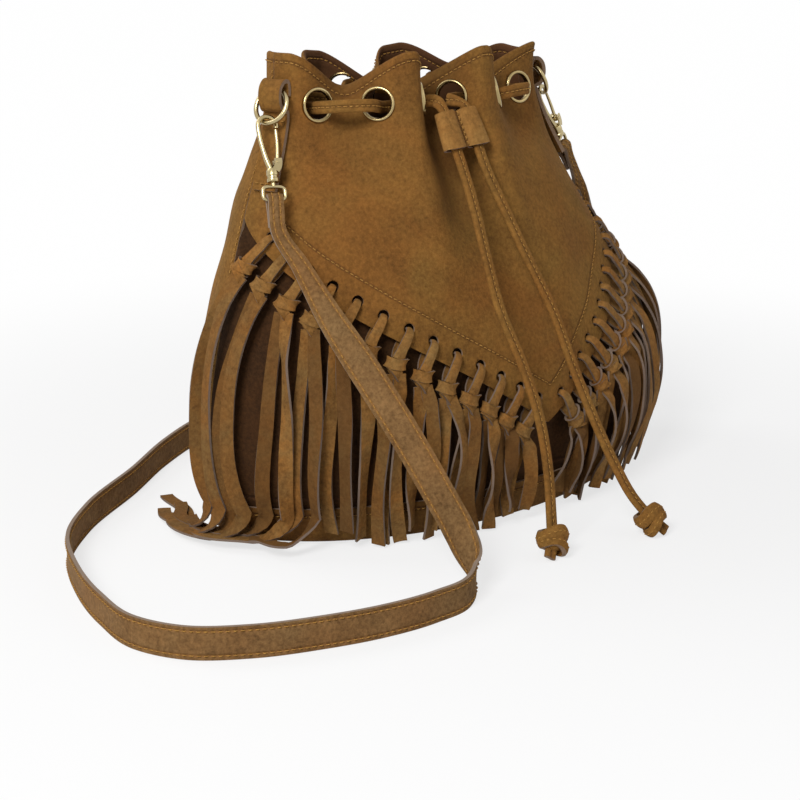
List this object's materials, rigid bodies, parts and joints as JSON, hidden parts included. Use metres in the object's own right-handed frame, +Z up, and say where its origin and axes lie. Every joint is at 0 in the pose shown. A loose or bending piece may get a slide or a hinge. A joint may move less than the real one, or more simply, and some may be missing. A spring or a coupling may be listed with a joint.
{
  "type": "drawstring bag",
  "caption": "Soft suede bucket bag with a gathered mouth, a drawcord with slider, a fringe of knotted strips and a strap on trigger hooks.",
  "frame": {"origin": "centre of the footprint of the bag without its strap and drawcord, on the floor", "axes": "+Z up, the fringed front faces -Y, the bag is widest along X"},
  "size_m": [0.4119, 0.3051, 0.236],
  "materials": {
    "tan_suede": "suede",
    "shaded_suede": "suede",
    "fringe_suede": "suede",
    "strap_suede": "suede",
    "pale_gold_plate": "polished"
  },
  "bodies": {
    "bag": {"back_panel": "tan_suede", "base_panel": "shaded_suede", "drawcord": "fringe_suede", "eyelet_01": "pale_gold_plate", "eyelet_02": "pale_gold_plate", "eyelet_03": "pale_gold_plate", "eyelet_04": "pale_gold_plate", "eyelet_05": "pale_gold_plate", "eyelet_06": "pale_gold_plate", "eyelet_07": "pale_gold_plate", "eyelet_08": "pale_gold_plate", "eyelet_09": "pale_gold_plate", "eyelet_10": "pale_gold_plate", "eyelet_11": "pale_gold_plate", "eyelet_12": "pale_gold_plate", "front_lower_panel": "shaded_suede", "front_yoke": "tan_suede", "ring_tab_left": "tan_suede", "ring_tab_right": "tan_suede", "shoulder_strap": "strap_suede", "swivel_eye_left": "pale_gold_plate", "swivel_eye_right": "pale_gold_plate", "tassel_01": "fringe_suede", "tassel_02": "fringe_suede", "tassel_03": "fringe_suede", "tassel_04": "fringe_suede", "tassel_05": "fringe_suede", "tassel_06": "fringe_suede", "tassel_07": "fringe_suede", "tassel_08": "fringe_suede", "tassel_09": "fringe_suede", "tassel_10": "fringe_suede", "tassel_11": "fringe_suede", "tassel_12": "fringe_suede", "tassel_13": "fringe_suede", "tassel_14": "fringe_suede", "tassel_15": "fringe_suede", "tassel_16": "fringe_suede", "tassel_17": "fringe_suede", "tassel_18": "fringe_suede", "tassel_19": "fringe_suede", "tassel_20": "fringe_suede", "tassel_21": "fringe_suede", "tassel_22": "fringe_suede", "tassel_23": "fringe_suede", "tassel_24": "fringe_suede", "tassel_25": "fringe_suede", "tassel_26": "fringe_suede"},
    "hook_left": {"hook_left": "pale_gold_plate", "gate_pin_left": "pale_gold_plate", "gate_spring_left": "pale_gold_plate"},
    "gate_left": {"gate_left": "pale_gold_plate"},
    "ring_left": {"ring_left": "pale_gold_plate"},
    "hook_right": {"hook_right": "pale_gold_plate", "gate_pin_right": "pale_gold_plate", "gate_spring_right": "pale_gold_plate"},
    "gate_right": {"gate_right": "pale_gold_plate"},
    "ring_right": {"ring_right": "pale_gold_plate"},
    "slider": {"cord_slider": "tan_suede"}
  },
  "joints": [
    {"name": "swivel_left", "type": "hinge", "parent": "bag", "child": "hook_left", "pos_m": [-0.11962, -0.01542, 0.17981], "axis": [0.2197, 0.3795, 0.8987], "range_deg": [-2, 85]},
    {"name": "gate_left", "type": "hinge", "parent": "hook_left", "child": "gate_left", "pos_m": [-0.11558, -0.01381, 0.18616], "axis": [-0.3575, -0.8258, 0.4361], "range_deg": [0, 18], "stiffness_Nm_per_rad": 0.0004, "springref_deg": -28.65},
    {"name": "ring_turn_left", "type": "hinge", "parent": "bag", "child": "ring_left", "pos_m": [-0.11078, -0.00396, 0.21174], "axis": [-0.8706, -0.2385, 0.4303], "continuous": true},
    {"name": "swivel_right", "type": "hinge", "parent": "bag", "child": "hook_right", "pos_m": [0.08858, -0.00335, 0.18157], "axis": [-0.5284, -0.0499, 0.8475], "range_deg": [-80, 5]},
    {"name": "gate_right", "type": "hinge", "parent": "hook_right", "child": "gate_right", "pos_m": [0.08689, -0.00274, 0.18905], "axis": [0.33, -0.9318, 0.151], "range_deg": [0, 18], "stiffness_Nm_per_rad": 0.0004, "springref_deg": -28.65},
    {"name": "ring_turn_right", "type": "hinge", "parent": "bag", "child": "ring_right", "pos_m": [0.07027, -0.00396, 0.21174], "axis": [0.8706, -0.2385, 0.4303], "continuous": true},
    {"name": "slider_run", "type": "slide", "parent": "bag", "child": "slider", "axis": [0.0503, -0.4223, -0.905], "range_m": [0, 0.015]}
  ]
}
